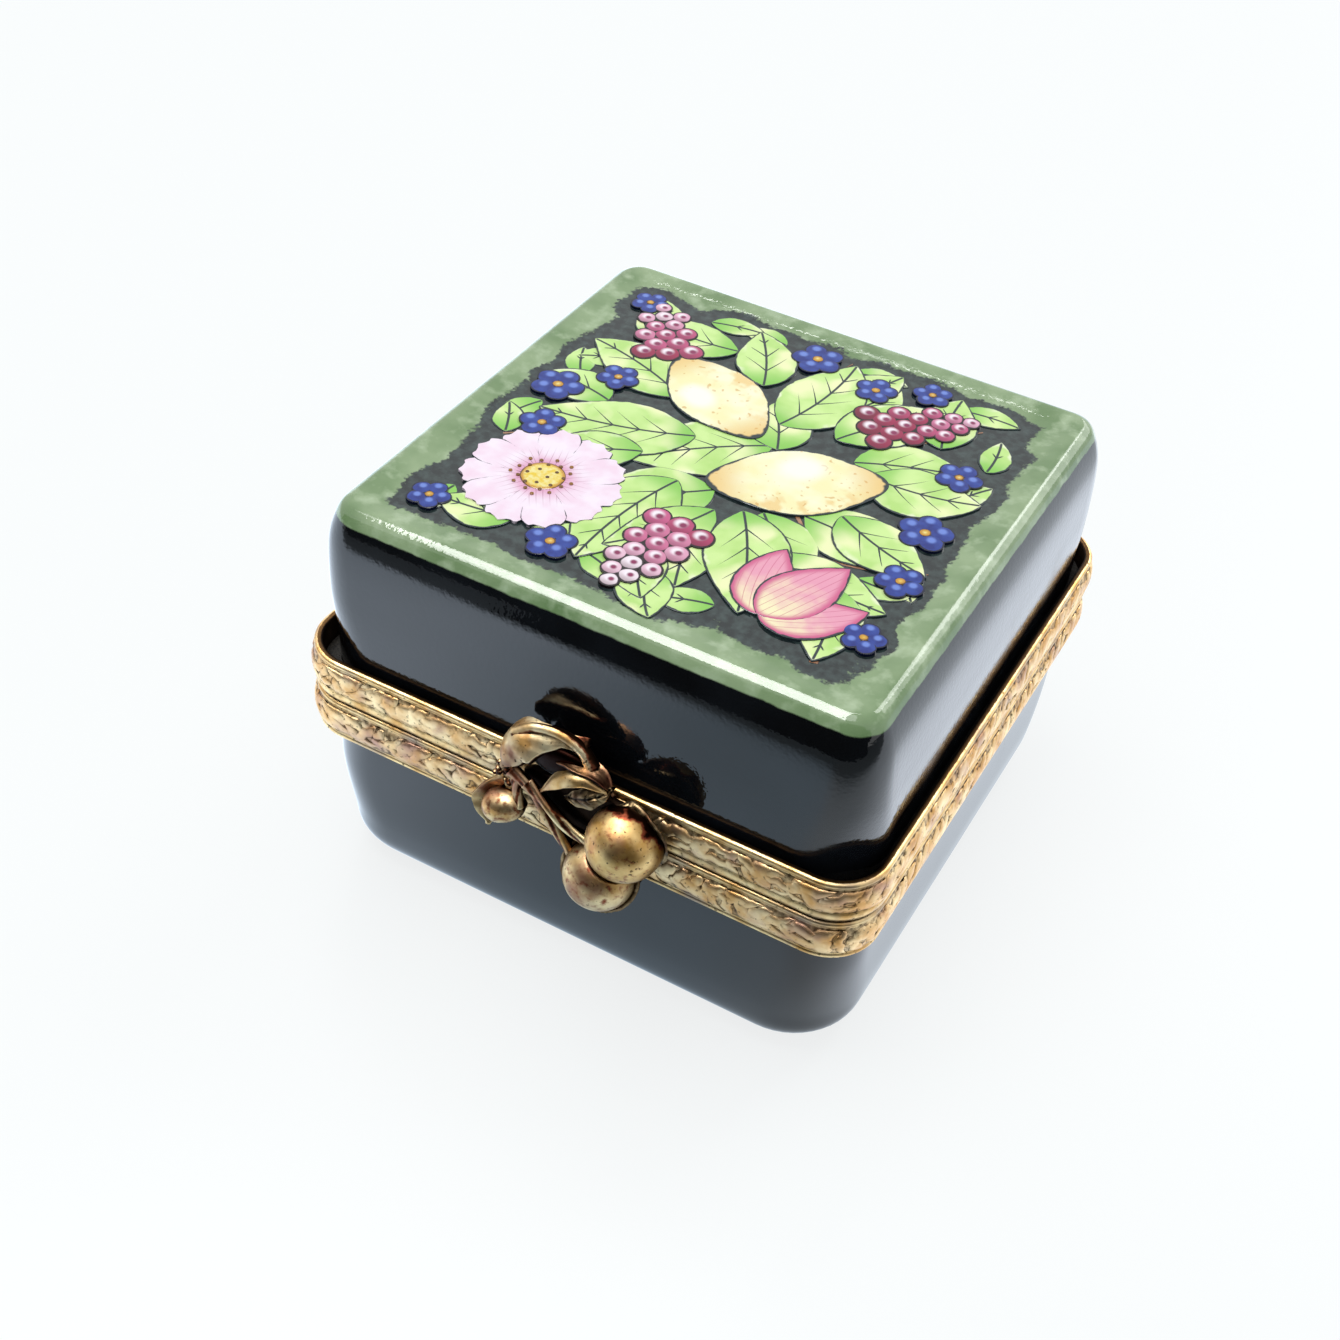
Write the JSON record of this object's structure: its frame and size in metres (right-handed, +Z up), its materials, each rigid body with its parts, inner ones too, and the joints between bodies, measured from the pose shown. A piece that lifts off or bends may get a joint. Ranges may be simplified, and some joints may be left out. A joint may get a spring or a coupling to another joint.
{
  "type": "hinged trinket box",
  "caption": "Small square porcelain trinket box with a hinged lid, gilt brass mounts and a cast fruit clasp.",
  "frame": {"origin": "centre of the flat underside", "axes": "+Z up, +Y towards the hinge at the back, -Y towards the clasp at the front"},
  "size_m": [0.0488, 0.0552, 0.0344],
  "materials": {
    "black_glaze": "black glaze, glossy",
    "painted_glaze": "hand-painted overglaze enamels on black glaze, glossy",
    "gilt_brass": "chased, gilt and antiqued",
    "antique_brass": "cast and antiqued",
    "polished_brass": "cast and polished",
    "patinated_brass": "cast, dark patina",
    "cement": "matt plaster cement"
  },
  "bodies": {
    "base": {"base_shell": "black_glaze", "base_band": "gilt_brass", "base_bedding": "cement", "base_knuckle_1": "gilt_brass", "base_knuckle_2": "gilt_brass", "base_knuckle_3": "gilt_brass", "hinge_pin": "gilt_brass", "catch_stud": "gilt_brass"},
    "lid": {"lid_shell": "painted_glaze", "lid_band": "gilt_brass", "lid_bedding": "cement", "lid_knuckle_1": "gilt_brass", "lid_knuckle_2": "gilt_brass", "clasp_tongue": "patinated_brass", "clasp_upper_leaf": "antique_brass", "clasp_curled_leaf": "antique_brass", "clasp_long_stem": "antique_brass", "clasp_short_stem": "antique_brass", "clasp_large_berry": "polished_brass", "large_berry_husk": "patinated_brass", "clasp_low_berry": "polished_brass", "low_berry_husk": "antique_brass", "clasp_bud": "polished_brass", "bud_bract": "antique_brass"}
  },
  "joints": [
    {"name": "lid_hinge", "type": "hinge", "parent": "base", "child": "lid", "pos_m": [0, 0.0253, 0.0179], "axis": [-1, 0, 0], "range_deg": [0, 95]}
  ]
}
